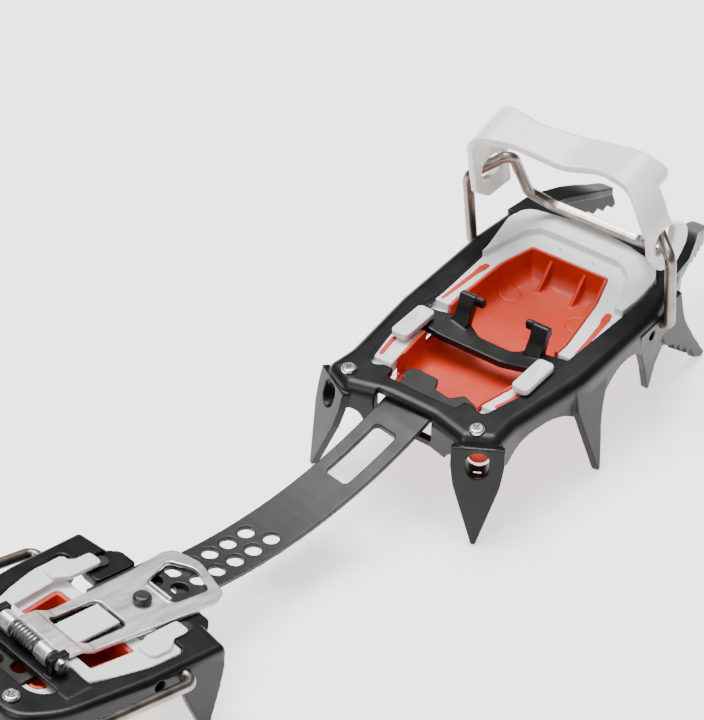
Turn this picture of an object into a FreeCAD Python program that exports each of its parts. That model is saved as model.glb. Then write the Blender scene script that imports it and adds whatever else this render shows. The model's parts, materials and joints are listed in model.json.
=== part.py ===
import FreeCAD, Part
import math
import os

# A step-in crampon for a right boot, standing on its points.  Millimetres.
# The front section is drawn in its own frame (x to the toe, y left, z = 0 on its top face)
# and turned by TOE_ANGLE.  The heel section is drawn along the straight rear run of the bar.
# Row frame: +X to the toe along the bar, +Y left, +Z up.

Vector = FreeCAD.Vector

# ---------------------------------------------------------------- driving dimensions
SHEET = 3.0                 # thickness of the frame sheet steel
TOE_ANGLE = 9.0             # the front section turns inward from the bar, degrees
EDGE_ROUND = 4.5            # pressed radius of the frame's outer top edge
SKIRT_DEPTH = 15.0
SCREW_SPACING = 56.0
FRAME_FRONT_X = 135.0
FRONT_POINT_X = 170.0
FRONT_POINT_Y = 22.0
BAR_WIDTH = 21.0
BAR_THICK = 2.0
BAR_Y = 1.6                 # bar centre line, left of the front section's origin
BAR_TOP_Z = -3.9            # top of the bar's flat head
BAR_DROP_ANGLE = 23.5
BAR_RISE_ANGLE = 9.2
BAR_BEND_R = 177.0
BAR_REAR_RUN = 96.0
HOLE_PITCH = 8.3
HOLE_ROW_Y = 4.15
HOLE_R = 3.0
HOLES_PER_ROW = 14
FIRST_HOLE_RUN = 75.0      # along the bar from its head to the first hole
HEEL_ORIGIN_RUN = 35.3      # along the straight run to the heel's drawing origin
HEEL_TOP = 2.4              # heel frame top face above the bar's top
HEEL_HALF_WIDTH = 37.8
HEEL_POINT = 29.2           # bar's top face to the tips of the heel points, before splay
WIRE_R = 2.2
BAIL_PIVOT = (100.3, -7.2)   # x, z in the front section
BAIL_TOP_Z = 26.5          # top of the bail's outer legs
CRADLE_THICK = 3.4
CRADLE_EYE_R = 5.0          # round part of the cradle's eyelets, on its tilt axis
CRADLE_LEFT = 36.9          # middle of the cradle's end plates from the centre line
CRADLE_RIGHT = 40.3
CRADLE_TOP = 57.0
CRADLE_LEAN = 12.0          # the cradle leans back, degrees
HEEL_WIRE_R = 2.0
HEEL_PIVOT_X = -3.0
HEEL_PIVOT_Z = -1.6
HEEL_WIRE_REACH = 84.0
LEFT_WALL = 40.0            # outer face of the front frame's left skirt
RIGHT_WALL = -44.4
HOOK_HALF = 3.4             # half the width of an upright hook on the brace
HOOK_REACH = 6.6            # how far its curl runs inwards from its middle
HEAD_FRONT_X = 18.5         # flat T-shaped head of the bar
HEAD_REAR_X = 2.0
HEAD_BEND_R = 8.0
LOCK_AXLE_X = -37.5
LOCK_AXLE_Z = 6.2
LOCK_AXLE_R = 1.5
BAR_CLEAR = 0.35            # underside of whatever crosses over the bar
LOBE_TOP = 0.3              # the front lobes are pressed down under the lock plate
PLATE_THICK = 1.6
PLATE_REAR_LOW = BAR_CLEAR + 2.2 + 0.3
PLATE_LOW = 0.62            # the lock plate lies close over the bar
PLATE_TOP = PLATE_LOW + PLATE_THICK
RIVET_X = 10.0
RIVET_Y = 21.4
PEG_NECK = 1.1
PEG_HEAD = 1.9
PEG_R = 3.3
HEEL_CROSS_Z = 6.5          # cross wire of the heel bail
LEVER_DROOP = 4.0           # the lever lies back past level, degrees
LEVER_WIDTH = 24.0
SCREW_R = 1.5               # height screw
GAP = 0.35                  # clearance between neighbouring pieces
FIT = 0.08                  # radial running clearance of pins

os.makedirs("parts", exist_ok=True)


# ---------------------------------------------------------------- drawing helpers
def rounded_wire(corners):
    """Closed wire in XY through (x, y, radius) corners; a radius of 0 keeps the corner."""
    points = [Vector(c[0], c[1], 0) for c in corners]
    starts = []
    ends = []
    mids = []
    for i, corner in enumerate(corners):
        p = points[i]
        back = (points[i - 1] - p).normalize()
        ahead = (points[(i + 1) % len(points)] - p).normalize()
        half = back.getAngle(ahead) / 2.0
        radius = corner[2]
        if radius <= 0 or abs(half - math.pi / 2) < 1e-4:
            starts.append(p)
            ends.append(p)
            mids.append(None)
            continue
        run = radius / math.tan(half)
        starts.append(p + back * run)
        ends.append(p + ahead * run)
        middle = (back + ahead).normalize()
        mids.append(p + middle * (radius / math.sin(half) - radius))
    edges = []
    for i in range(len(corners)):
        if mids[i] is not None:
            edges.append(Part.Arc(starts[i], mids[i], ends[i]).toShape())
        following = starts[(i + 1) % len(corners)]
        if ends[i].distanceToPoint(following) > 1e-6:
            edges.append(Part.LineSegment(ends[i], following).toShape())
    return Part.Wire(edges)


def slab(corners, z_low, z_high):
    """Plate with a rounded plan outline between two heights."""
    face = Part.Face(rounded_wire(corners))
    face.translate(Vector(0, 0, z_low))
    return face.extrude(Vector(0, 0, z_high - z_low))


def side_slab(corners, y_low, y_high):
    """Plate drawn as (x, z, radius) in side view, between two y values."""
    shape = slab(corners, -y_high, -y_low)
    shape.rotate(Vector(0, 0, 0), Vector(1, 0, 0), 90)
    return shape


def cross_slab(corners, x_low, x_high):
    """Plate drawn as (y, z, radius) seen from the front, between two x values."""
    shape = slab(corners, x_low, x_high)
    shape.rotate(Vector(0, 0, 0), Vector(0, 0, 1), 90)
    shape.rotate(Vector(0, 0, 0), Vector(0, 1, 0), 90)
    return shape


def box(x_low, x_high, y_low, y_high, z_low, z_high):
    corner = Vector(x_low, y_low, z_low)
    return Part.makeBox(x_high - x_low, y_high - y_low, z_high - z_low, corner)


def disc(x, y, z_low, z_high, radius):
    return Part.makeCylinder(radius, z_high - z_low, Vector(x, y, z_low))


def cross_pin(x, z, y_low, y_high, radius):
    base = Vector(x, y_low, z)
    return Part.makeCylinder(radius, y_high - y_low, base, Vector(0, 1, 0))


def fused(shapes):
    result = shapes[0]
    for shape in shapes[1:]:
        result = result.fuse(shape)
    return result.removeSplitter()


def bent_wire(points, radii, wire_radius):
    """Round wire along straight runs joined by tangent arcs."""
    edges = []
    place = points[0]
    for i in range(1, len(points) - 1):
        back = (points[i - 1] - points[i]).normalize()
        ahead = (points[i + 1] - points[i]).normalize()
        half = back.getAngle(ahead) / 2.0
        radius = radii[i - 1]
        start = points[i] + back * (radius / math.tan(half))
        end = points[i] + ahead * (radius / math.tan(half))
        middle = points[i] + (back + ahead).normalize() * (radius / math.sin(half) - radius)
        edges.append(Part.LineSegment(place, start).toShape())
        edges.append(Part.Arc(start, middle, end).toShape())
        place = end
    edges.append(Part.LineSegment(place, points[-1]).toShape())
    path = Part.Wire(edges)
    heading = (points[1] - points[0]).normalize()
    ring = Part.Wire(Part.makeCircle(wire_radius, points[0], heading))
    return path.makePipeShell([ring], True, False)


# ---------------------------------------------------------------- front section


def front_outline():
    return [
        (-7.5, 25, 4), (-1.5, 37.6, 5), (12, 36.0, 20), (48, 39.4, 60), (99, LEFT_WALL, 50),
        (122, 38.0, 40), (FRAME_FRONT_X, 35.0, 7), (137, 3, 60), (FRAME_FRONT_X - 2, -34.0, 7),
        (121, -38.6, 40), (98, RIGHT_WALL, 50), (48, -43.8, 60), (13, -37.6, 20),
        (-0.5, -37.8, 5), (-7, -26, 4), (-3.0, -10, 12), (-3.0, 9, 12),
    ]


def front_window():
    return [
        (10.4, 19.5, 2.5), (10.4, 15.6, 1.4), (5.6, 15.0, 1.2), (5.0, 0, 0), (5.6, -15.0, 1.2),
        (10.4, -15.6, 1.4), (10.4, -19.5, 2.5), (6.6, -24.6, 3), (30, -31, 30), (72, -33.6, 60),
        (98, -35.2, 40), (112, -34.0, 12), (119.5, -29.5, 7), (124.5, -14, 30), (127.0, 6, 40),
        (122.0, 31.6, 7), (112, 34.2, 7), (90, 29.8, 30), (60, 28.6, 60), (28, 29.8, 30),
        (6.6, 25.6, 3),
    ]


def shrunk(corners, distance):
    """Plan outline moved inwards (or outwards when negative), as a face."""
    return Part.Face(rounded_wire(corners)).makeOffset2D(-distance)


def raised(face, z_low, z_high):
    moved = face.copy()
    moved.translate(Vector(0, 0, z_low))
    return moved.extrude(Vector(0, 0, z_high - z_low))


def pressed_rim():
    """Top flange and skirt, drawn as one deep pressing with a rounded outer edge."""
    body = slab(front_outline(), -SKIRT_DEPTH, 0)
    top_edges = [e for e in body.Edges if abs(e.BoundBox.ZMin) < 1e-6]
    body = body.makeFillet(EDGE_ROUND, top_edges)
    hollow = raised(shrunk(front_outline(), SHEET), -SKIRT_DEPTH - 1, -SHEET)
    return body.cut(hollow)


def arch_cut(first, crown_z, last):
    """Half-moon taken out of both side skirts between x = first and x = last."""
    middle = (first + last) / 2.0
    low = -SKIRT_DEPTH - 1
    arc = Part.Arc(Vector(first, 0, low), Vector(middle, 0, crown_z), Vector(last, 0, low))
    chord = Part.LineSegment(Vector(last, 0, low), Vector(first, 0, low))
    face = Part.Face(Part.Wire([arc.toShape(), chord.toShape()]))
    face.translate(Vector(0, -70, 0))
    return face.extrude(Vector(0, 140, 0))


def rear_arch(first, crown_z, last):
    """Half-moon taken out of the rear wall between y = first and y = last."""
    middle = (first + last) / 2.0
    low = -SKIRT_DEPTH - 1
    arc = Part.Arc(Vector(0, first, low), Vector(0, middle, crown_z), Vector(0, last, low))
    chord = Part.LineSegment(Vector(0, last, low), Vector(0, first, low))
    face = Part.Face(Part.Wire([arc.toShape(), chord.toShape()]))
    face.translate(Vector(-20, 0, 0))
    return face.extrude(Vector(22, 0, 0))


def side_point(corners, wall_y, hinge_z, splay):
    """Point drawn in side view on a side wall, leaning out by splay degrees."""
    side = 1 if wall_y > 0 else -1
    low = min(wall_y, wall_y - side * SHEET)
    plate = side_slab(corners, low, low + SHEET)
    plate.rotate(Vector(0, wall_y, hinge_z), Vector(1, 0, 0), side * splay)
    return plate


MID_POINT = [
    (42, -4, 0), (41.5, -12, 6), (44, -24, 40), (47.8, -41.5, 0.6), (49.2, -41.5, 0.6),
    (55.6, -19, 40), (62, -10.4, 6), (62, -4, 0),
]
SMALL_POINT = [
    (84, -4, 0), (85.5, -12, 6), (92.5, -26, 40), (98.4, -40.1, 0.5), (99.7, -40.1, 0.5),
    (101, -27, 12), (106, -20, 6), (107, -4, 0),
]
SECOND_POINT = [
    (101, -4, 0), (103, -20.5, 6), (109.5, -23.6, 0.5), (110.2, -26.4, 0.4), (113.4, -26.2, 0.5),
    (114.4, -29.8, 0.4), (117.6, -29.6, 0.5), (118.8, -33.4, 0.4), (122.0, -33.4, 0.5),
    (124.4, -38.6, 0.6), (129.5, -41.3, 0.8), (132.2, -40.5, 0.8), (125.5, -30, 14),
    (118.6, -17, 20), (117.4, -4, 0),
]


def corner_point(side):
    """Leaf-shaped point on a rear corner, facing diagonally backwards, with an oval hole."""
    leaf = side_slab([
        (-9.4, 9.5, 1), (-9.6, -2, 6), (-8.4, -10, 20), (-3.2, -26, 30), (-0.8, -33.4, 0.6),
        (0.8, -33.4, 0.6), (3.2, -26, 30), (8.4, -10, 20), (9.6, -2, 6), (9.4, 9.5, 1),
    ], 0, SHEET)
    hole = side_slab([(-4.2, 4.2, 4), (-4.2, -5.6, 4), (4.2, -5.6, 4), (4.2, 4.2, 4)], -5, 8)
    leaf = leaf.cut(hole)
    top_trim = box(-12, 12, -5, 8, 4.9, 12)
    leaf = leaf.cut(top_trim)
    leaf.rotate(Vector(0, 0, 5), Vector(1, 0, 0), -14)
    leaf.rotate(Vector(0, 0, 0), Vector(0, 0, 1), -120 if side > 0 else -60)
    leaf.translate(Vector(-4.7, side * 31.9, -8.4))
    return leaf


def front_point(side):
    """T-section front point: drooping flange over a web with teeth under its tip."""
    tip_y = FRONT_POINT_Y
    plan = [
        (118, 38.3, 0), (134, 36.4, 20), (147, 31.8, 30), (158, 27.2, 30), (167.6, 25.6, 2),
        (169.2, tip_y, 2), (167.6, 18.6, 2), (152, 20.0, 30), (139, 25.4, 14), (128, 26, 0),
        (118, 28, 0),
    ]
    droop = [
        (112, -0.05, 0), (130, -0.05, 60), (150, -2.6, 60), (FRONT_POINT_X - 1, -10.0, 1.5),
        (FRONT_POINT_X - 1.6, -13.0, 0.6), (149, -6.0, 60), (130, -SHEET, 60), (112, -SHEET, 0),
    ]
    flange = slab(plan, -30, 5).common(side_slab(droop, 0, 60))
    web_plan = [
        (124, 35.9, 0), (171, tip_y + 1.2, 0), (174, tip_y + 0.4, 0),
        (174, tip_y - 2.2, 0), (171, tip_y - 1.9, 0), (124, 32.7, 0),
    ]
    web_side = [
        (124, -1.5, 0), (132, -1.5, 40), (150, -4.0, 60), (FRONT_POINT_X - 1.4, -10.6, 1),
        (172.4, -20.4, 1), (170.2, -21.6, 0.4), (167.6, -19.0, 0.4), (165.4, -21.2, 0.4),
        (162.4, -18.2, 0.4), (160.0, -20.2, 0.4), (157.0, -17.2, 0.4), (154.6, -18.8, 0.4),
        (150, -15.6, 8), (140, -15.2, 20), (132, -12.6, 10), (124, -12.6, 0),
    ]
    web = slab(web_plan, -30, 5).common(side_slab(web_side, 0, 60))
    tip = flange.fuse(web)
    if side < 0:
        tip = tip.mirror(Vector(0, 0, 0), Vector(0, 1, 0))
        tip.translate(Vector(-0.6, 0.6, 0))
    return tip


def hook_brace():
    """Wavy brace across the window with two upright hooks curling towards each other."""
    plan = [
        (37, 34, 0), (38.0, 24, 6), (37.6, 14, 10), (39.6, 4, 20), (39.6, -10, 20),
        (40.6, -22, 10), (41.5, -39, 0), (52.5, -39, 0), (51.5, -26, 6), (50.8, -16.5, 3),
        (47.2, -11, 6), (47.2, 3, 6), (50.4, 9, 3), (50.6, 17, 5), (47.5, 25, 6), (49, 34, 0),
    ]
    wave = [
        (36, -0.1, 0), (24, -0.1, 10), (14, -1.2, 16), (4, -3.0, 12), (-12, -3.0, 12),
        (-22, -1.2, 16), (-31, -0.1, 10), (-40, -0.1, 0), (-40, -3.1, 0), (-30, -3.1, 10),
        (-21, -4.2, 16), (-11.5, -6.0, 12), (3.5, -6.0, 12), (13, -4.2, 16), (23, -3.1, 10),
        (36, -3.1, 0),
    ]
    brace = slab(plan, -9, 3).common(cross_slab(wave, 30, 60))
    hooks = []
    for foot_y, inward in ((12.6, -1), (-19.6, 1)):
        rise = [
            (48.0, -4.4, 0), (50.4, -4.6, 3), (53.4, 2, 8), (55.4, 8.4, 1.2), (52.6, 9.2, 1.2),
            (50.2, 3, 8), (47.0, -1.4, 0),
        ]
        stem = side_slab(rise, foot_y - HOOK_HALF, foot_y + HOOK_HALF)
        curl_low = min(foot_y - inward * HOOK_HALF, foot_y + inward * HOOK_REACH)
        curl = side_slab([
            (53.0, 4.6, 1), (56.0, 4.6, 1), (55.4, 8.4, 1.2), (52.6, 9.2, 1.2),
        ], curl_low, curl_low + HOOK_HALF + HOOK_REACH)
        hooks.append(stem.fuse(curl))
    return fused([brace] + hooks)


def make_front_frame():
    frame = pressed_rim()
    for cut in (arch_cut(5, -8.8, 43), arch_cut(61, -9.2, 88)):
        frame = frame.cut(cut)
    for cut in (rear_arch(-27, -11.0, -18), rear_arch(18, -11.0, 27)):
        frame = frame.cut(cut)
    frame = fused([frame, front_point(1), front_point(-1)])
    frame = frame.cut(slab(front_window(), -8, 1))
    gate_half = BAR_WIDTH / 2 + 1.7
    bar_gate = box(-12, 5.5, BAR_Y - gate_half, BAR_Y + gate_half, -12.2, -SHEET)
    gate_lip = box(-12, -1.4, BAR_Y - gate_half, BAR_Y + gate_half, -12.2, 1)
    frame = frame.cut(bar_gate).cut(gate_lip)
    pieces = [frame, hook_brace()]
    for wall in (LEFT_WALL, RIGHT_WALL):
        mid_wall = wall - 0.5 if wall > 0 else wall + 0.6
        second_wall = wall - 1.4 if wall > 0 else wall + 1.6
        pieces.append(side_point(MID_POINT, mid_wall, -8, 13))
        pieces.append(side_point(SMALL_POINT, wall, -8, -5))
        pieces.append(side_point(SECOND_POINT, second_wall, -8, 8))
    pieces.append(corner_point(1))
    pieces.append(corner_point(-1))
    frame = fused(pieces)
    for side in (-1, 1):
        leaf_hole = Part.makeCylinder(4.1, 16, Vector(-12.5, side * 36.6, -11.5),
                                      Vector(0.86, -side * 0.5, 0.1))
        frame = frame.cut(leaf_hole)
        frame = frame.cut(disc(0, side * SCREW_SPACING / 2, -5, 2, 1.7))
    pivot_hole = cross_pin(BAIL_PIVOT[0], BAIL_PIVOT[1], -60, 60, WIRE_R + FIT)
    spare_hole = cross_pin(BAIL_PIVOT[0] - 7.6, BAIL_PIVOT[1] - 1.6, -60, 60, 2.0)
    return frame.cut(pivot_hole).cut(spare_hole)


def antiball_opening():
    return [
        (9, 18, 2), (30, 20.5, 20), (60, 22.5, 30), (88, 21.5, 20), (104.6, 17.4, 1.5),
        (104.6, -17.4, 1.5), (88, -22.5, 20), (60, -27, 30), (30, -25, 20), (9, -20, 2),
    ]


def make_front_antiball_frame():
    """White clip-in plate: ring under the flange, raised front block, tabs over the brace."""
    ring_plan = [
        (9, -26.2, 3), (30, -32.6, 30), (72, -35.2, 60), (98, -36.6, 40), (112, -35.4, 12),
        (120.6, -30.6, 7), (125.8, -14, 30), (128.3, 6, 40), (122.6, 31.9, 7), (112, 35.0, 7),
        (90, 31.4, 30), (60, 30.2, 60), (28, 31.4, 30), (9, 27.2, 3),
    ]
    ring = slab(ring_plan, -6.4, -SHEET - GAP)
    inside = shrunk(front_window(), 0.5)
    lip = raised(inside, -SHEET - GAP - 0.2, -1.2)
    lip = lip.cut(box(-20, 13, -60, 60, -10, 5)).cut(box(36.2, 53.4, -60, 60, -10, 5))
    block = raised(inside, -SHEET - GAP - 0.2, 1.8)
    block = block.cut(box(-20, 87, -60, 60, -10, 5))
    inner_wall = [
        (80, 30.0, 0), (88, 28.4, 4), (108.5, 23.4, 3), (113.4, 19.5, 3), (112.6, -17.5, 3),
        (107.4, -23.6, 3), (86, -30.6, 4), (80, -32.0, 0),
    ]
    block = block.cut(slab(inner_wall, -10, 5))
    plate = fused([ring, lip, block])
    plate = plate.cut(raised(shrunk(antiball_opening(), 0), -10, 5))
    plate = plate.cut(box(36, 54.4, -60, 60, -4.7, 5))
    tabs = []
    for low, high, post_low, post_high in ((20.6, 28.0, 22.9, 27.6), (-32.2, -25.2, -30.4, -26.4)):
        cap = [(25, low, 2), (25, high, 2), (44, high, 2), (44, low, 2)]
        tabs.append(slab(cap, GAP, 3.0).fuse(box(28, 34, post_low, post_high, -4, 1)))
    return fused([plate] + tabs)


def make_front_antiball_membrane():
    """Orange soft tray hung under the plate, with bulges that shed snow."""
    tray = raised(shrunk(antiball_opening(), 0.3), -14.0, -2.4)
    cavity = raised(shrunk(antiball_opening(), 1.6), -12.4, 0)
    flange = raised(shrunk(antiball_opening(), -3.6), -8.0, -6.7)
    flange = flange.cut(box(-20, 9.4, -60, 60, -20, 5))
    bulge = raised(shrunk(antiball_opening(), 6.0), -17.5, -14.0)
    body = fused([tray, flange, bulge]).cut(cavity)
    body = body.cut(box(36, 54.4, -60, 60, -6.6, 5)).cut(box(-5, 12.4, -60, 60, -3.4, 5))
    ribs = [box(97.5, 103.2, y - 0.7, y + 0.7, -12.6, -3.6) for y in (-7.5, 7.5)]
    lugs = []
    for side in (-1, 1):
        arm = box(3.5, 14, side * 21.6 - 3, side * 21.6 + 3, -8.0, -6.7)
        boss = disc(4.2, side * 24.6, -12.6, -6.7, 4.4)
        boss = boss.cut(disc(0, side * SCREW_SPACING / 2, -14, -5, 3.4))
        lugs.append(arm.fuse(boss))
    gate = box(-2, 20.6, -20.2, 18.4, -9.5, 0)
    return fused([body] + ribs + lugs).cut(gate)


def pan_screw(x, y, top, length, shank_r, head_r):
    """Pan-head screw with a cross recess, pointing down from the face at z = top."""
    head = disc(x, y, top, top + 1.5, head_r)
    head = head.makeFillet(0.9, [e for e in head.Edges if e.BoundBox.ZMin > top + 1])
    recess = box(x - 1.5, x + 1.5, y - 0.35, y + 0.35, top + 0.7, top + 2)
    recess = recess.fuse(box(x - 0.35, x + 0.35, y - 1.5, y + 1.5, top + 0.7, top + 2))
    return head.fuse(disc(x, y, top - length, top, shank_r)).cut(recess)


def make_front_screws():
    spots = (SCREW_SPACING / 2, -SCREW_SPACING / 2)
    return Part.makeCompound([pan_screw(0, y, 0.02, 11.0, 1.6, 2.9) for y in spots])


def make_front_screw_inserts():
    sleeves = []
    for y in (SCREW_SPACING / 2, -SCREW_SPACING / 2):
        sleeve = disc(0, y, -9.4, -SHEET - 0.05, 2.1).cut(disc(0, y, -12, 0, 1.68))
        sleeves.append(sleeve)
    return Part.makeCompound(sleeves)


def bail_half(side):
    """Points of the toe bail from its pivot end to the middle of the flattened bar."""
    outer = LEFT_WALL + 2.8 if side > 0 else -RIGHT_WALL + 2.8
    pivot_x, pivot_z = BAIL_PIVOT
    return [
        Vector(pivot_x, side * (outer - 8.0), pivot_z), Vector(pivot_x, side * outer, pivot_z),
        Vector(95.5, side * outer, BAIL_TOP_Z), Vector(107.0, side * 30.6, BAIL_TOP_Z + 9),
        Vector(116.5, side * 28.2, 13.5), Vector(123.6, side * 20.0, 5.9),
    ]


def make_toe_bail():
    left = bail_half(1)
    right = bail_half(-1)
    points = left + right[::-1]
    radii = [2.6, 4.6, 4.6, 9.0, 6.0, 6.0, 9.0, 4.6, 4.6, 2.6]
    wire = bent_wire(points, radii, WIRE_R)
    flat = slab([(120.6, -22, 2), (120.6, 22, 2), (126.6, 22, 2), (126.6, -22, 2)], 4.1, 7.7)
    return wire.fuse(flat)


def cradle_hinge(side):
    """Where the bail's loop crosses the cradle's end plate on one side."""
    points = bail_half(side)
    outer = points[2]
    inner = points[3]
    plate_y = CRADLE_LEFT if side > 0 else CRADLE_RIGHT
    share = (abs(outer.y) - plate_y) / (abs(outer.y) - abs(inner.y))
    return outer + (inner - outer) * share


def make_toe_cradle():
    """Soft arch that leans back over the toe welt, carried on the two loops of the bail."""
    half = CRADLE_THICK / 2.0
    left = CRADLE_LEFT
    right = -CRADLE_RIGHT
    top = CRADLE_TOP
    arch = [
        (right - half, 8, 0), (right - half, top - 2, 20), (-20, top - 3.0, 20),
        (0, top - 5.0, 30), (20, top - 2.0, 20), (left + half, top, 9), (left + half, 8, 0),
        (left - half, 8, 0), (left - half, top - CRADLE_THICK, 5.6),
        (20, top - CRADLE_THICK - 2.0, 20), (0, top - CRADLE_THICK - 5.0, 30),
        (-20, top - CRADLE_THICK - 3.0, 20), (right + half, top - CRADLE_THICK - 2, 16.6),
        (right + half, 8, 0),
    ]
    band = cross_slab(arch, 80, 130)
    plan = [
        (93.5, 46, 0), (93.5, 36, 6), (98.5, 20, 14), (100, 0, 20), (104.0, -14, 14),
        (101, -28, 10), (94, -37, 6), (94, -50, 0), (119, -50, 0), (119.5, -36, 8),
        (119.5, -20, 14), (118.0, -2, 20), (113.6, 17, 14), (115.5, 36, 8), (116, 46, 0),
    ]
    band = band.common(slab(plan, 0, 80))
    left_foot = [(85, 28, 0), (92, 28, 4), (100.5, 18.4, 3), (118, 14.4, 0), (118, 2, 0), (85, 2, 0)]
    right_foot = [
        (85, 31, 0), (93, 31, 5), (98.5, 18.5, 8), (108.5, 11.6, 7), (118.6, 17.5, 6),
        (119.2, 26, 7), (110, 33, 8), (107.5, 40, 7), (112, 52, 0), (130, 52, 0), (130, 2, 0),
        (85, 2, 0),
    ]
    band = band.cut(side_slab(left_foot, 25, 60)).cut(side_slab(right_foot, -60, -34))
    pivot = Vector(106, 0, 15)
    band.rotate(pivot, Vector(0, 1, 0), -CRADLE_LEAN)
    far = cradle_hinge(1)
    near = cradle_hinge(-1)
    line = (far - near).normalize()
    for eye in (far, near):
        slot = side_slab([
            (eye.x - 6.8, eye.z - 4.6, 3), (eye.x + 6.8, eye.z - 4.6, 3),
            (eye.x + 6.8, eye.z + 4.6, 3), (eye.x - 6.8, eye.z + 4.6, 3),
        ], eye.y - 4, eye.y + 4)
        bore = Part.makeCylinder(CRADLE_EYE_R, 10, eye - line * 5, line)
        band = band.cut(slot).cut(bore)
    return band


# ---------------------------------------------------------------- linking bar


def bar_station(run):
    """Top-surface x, z and heading (degrees below level, going rearwards) after a run."""
    x = HEAD_REAR_X
    z = BAR_TOP_Z
    heading = 0.0
    bend_run = HEAD_BEND_R * math.radians(BAR_DROP_ANGLE)
    sweep = math.radians(BAR_DROP_ANGLE + BAR_RISE_ANGLE)
    stretches = ((bend_run, 1 / HEAD_BEND_R), (BAR_BEND_R * sweep, -1 / BAR_BEND_R), (1e4, 0.0))
    for length, bend in stretches:
        step = min(run, length)
        turned = heading + step * bend
        if bend:
            x -= (math.sin(turned) - math.sin(heading)) / bend
            z -= (math.cos(heading) - math.cos(turned)) / bend
        else:
            x -= step * math.cos(heading)
            z -= step * math.sin(heading)
        heading = turned
        run -= step
    return x, z, math.degrees(heading)


def bar_point(run, depth):
    x, z, heading = bar_station(run)
    tilt = math.radians(heading)
    return Vector(x + depth * math.sin(tilt), 0, z - depth * math.cos(tilt))


STRAIGHT_START = (HEAD_BEND_R * math.radians(BAR_DROP_ANGLE)
                  + BAR_BEND_R * math.radians(BAR_DROP_ANGLE + BAR_RISE_ANGLE))
HEEL_RUN = STRAIGHT_START + HEEL_ORIGIN_RUN
LAST_HOLE_RUN = FIRST_HOLE_RUN + (HOLES_PER_ROW - 0.5) * HOLE_PITCH
BAR_END_RUN = LAST_HOLE_RUN + 5.5


def bar_cut(run, y, radius):
    """Drill normal to the bar at a run along it."""
    base = bar_point(run, 6)
    upward = bar_point(run, -6) - base
    base.y = y
    return Part.makeCylinder(radius, 12, base, upward)


def hole_runs(row_sign):
    """Runs of one row of holes; the left row is half a pitch further back."""
    offset = HOLE_PITCH / 2 if row_sign > 0 else 0
    return [FIRST_HOLE_RUN + offset + i * HOLE_PITCH for i in range(HOLES_PER_ROW)]


def make_linking_bar():
    bend_end = HEAD_BEND_R * math.radians(BAR_DROP_ANGLE)
    runs = (0, bend_end, STRAIGHT_START, BAR_END_RUN)
    edges = []
    for depth in (0, BAR_THICK):
        start = Vector(HEAD_FRONT_X, 0, BAR_TOP_Z - depth)
        marks = [bar_point(run, depth) for run in runs]
        first_mid = bar_point(bend_end / 2, depth)
        second_mid = bar_point((bend_end + STRAIGHT_START) / 2, depth)
        edges.append(Part.LineSegment(start, marks[0]).toShape())
        edges.append(Part.Arc(marks[0], first_mid, marks[1]).toShape())
        edges.append(Part.Arc(marks[1], second_mid, marks[2]).toShape())
        edges.append(Part.LineSegment(marks[2], marks[3]).toShape())
    front_top = Vector(HEAD_FRONT_X, 0, BAR_TOP_Z)
    front_low = Vector(HEAD_FRONT_X, 0, BAR_TOP_Z - BAR_THICK)
    rear_top = bar_point(BAR_END_RUN, 0)
    rear_low = bar_point(BAR_END_RUN, BAR_THICK)
    edges.append(Part.LineSegment(front_top, front_low).toShape())
    edges.append(Part.LineSegment(rear_top, rear_low).toShape())
    profile = Part.Wire(Part.__sortEdges__(edges))
    strip = Part.Face(profile)
    strip.translate(Vector(0, -30, 0))
    strip = strip.extrude(Vector(0, 60, 0))
    half = BAR_WIDTH / 2
    head = [
        (HEAD_FRONT_X, 4.6, 1.2), (13.6, 1.6, 1.2), (13.6, -5.6, 1.2), (HEAD_FRONT_X, -8.6, 1.2),
        (HEAD_FRONT_X - 1.5, -16.4, 2.4), (12.4, -17.4, 2), (10.6, -14.4, 1.6), (3.4, -13.6, 2),
        (1.4, BAR_Y - half, 2), (-240, BAR_Y - half, 8), (-240, BAR_Y + half, 8),
        (1.4, BAR_Y + half, 2), (3.4, 13.6, 2), (10.6, 14.0, 1.6), (12.4, 16.6, 2),
        (HEAD_FRONT_X - 1.5, 15.8, 2.4),
    ]
    bar = strip.common(slab(head, -60, 10))
    slot_plan = [(-11, -5.2, 2), (-11, 5.2, 2), (-36.5, 5.2, 2), (-36.5, -5.2, 2)]
    slot = slab(slot_plan, -40, 0)
    slot.translate(Vector(0, BAR_Y, 0))
    bar = bar.cut(slot)
    for row in (-1, 1):
        for run in hole_runs(row):
            bar = bar.cut(bar_cut(run, BAR_Y + row * HOLE_ROW_Y, HOLE_R))
    return bar


# ---------------------------------------------------------------- heel section
# Heel frame of drawing: x forward along the bar, y left of its centre line, z out of its top
# face; the origin is HEEL_RUN along the bar.
FLANGE_LOW = HEEL_TOP - SHEET


def heel_placed(shape):
    """Move a shape from the heel's drawing frame to the row's axes."""
    x, z, heading = bar_station(HEEL_RUN)
    shape = shape.copy()
    shape.rotate(Vector(0, 0, 0), Vector(0, 1, 0), -heading)
    shape.translate(Vector(x, BAR_Y, z))
    return shape


def heel_window():
    return [
        (2, 32.0, 3), (-12, 31.2, 30), (-24, 28.0, 30), (-50, 20.5, 8), (-50, -20.5, 8),
        (-24, -28.0, 30), (-12, -31.2, 30), (2, -32.0, 3), (2, -13, 0), (30, -13, 0),
        (30, 13, 0), (2, 13, 0),
    ]


def heel_solid_outline():
    wide = HEEL_HALF_WIDTH
    return [
        (14.0, wide, 1.6), (15.4, 25, 2), (15.4, -25, 2), (14.0, -wide, 1.6),
        (-16, -36.6, 60), (-48, -32.5, 30), (-62, -24, 12), (-62, 24, 12), (-48, 32.5, 30),
        (-16, 36.6, 60),
    ]


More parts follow.
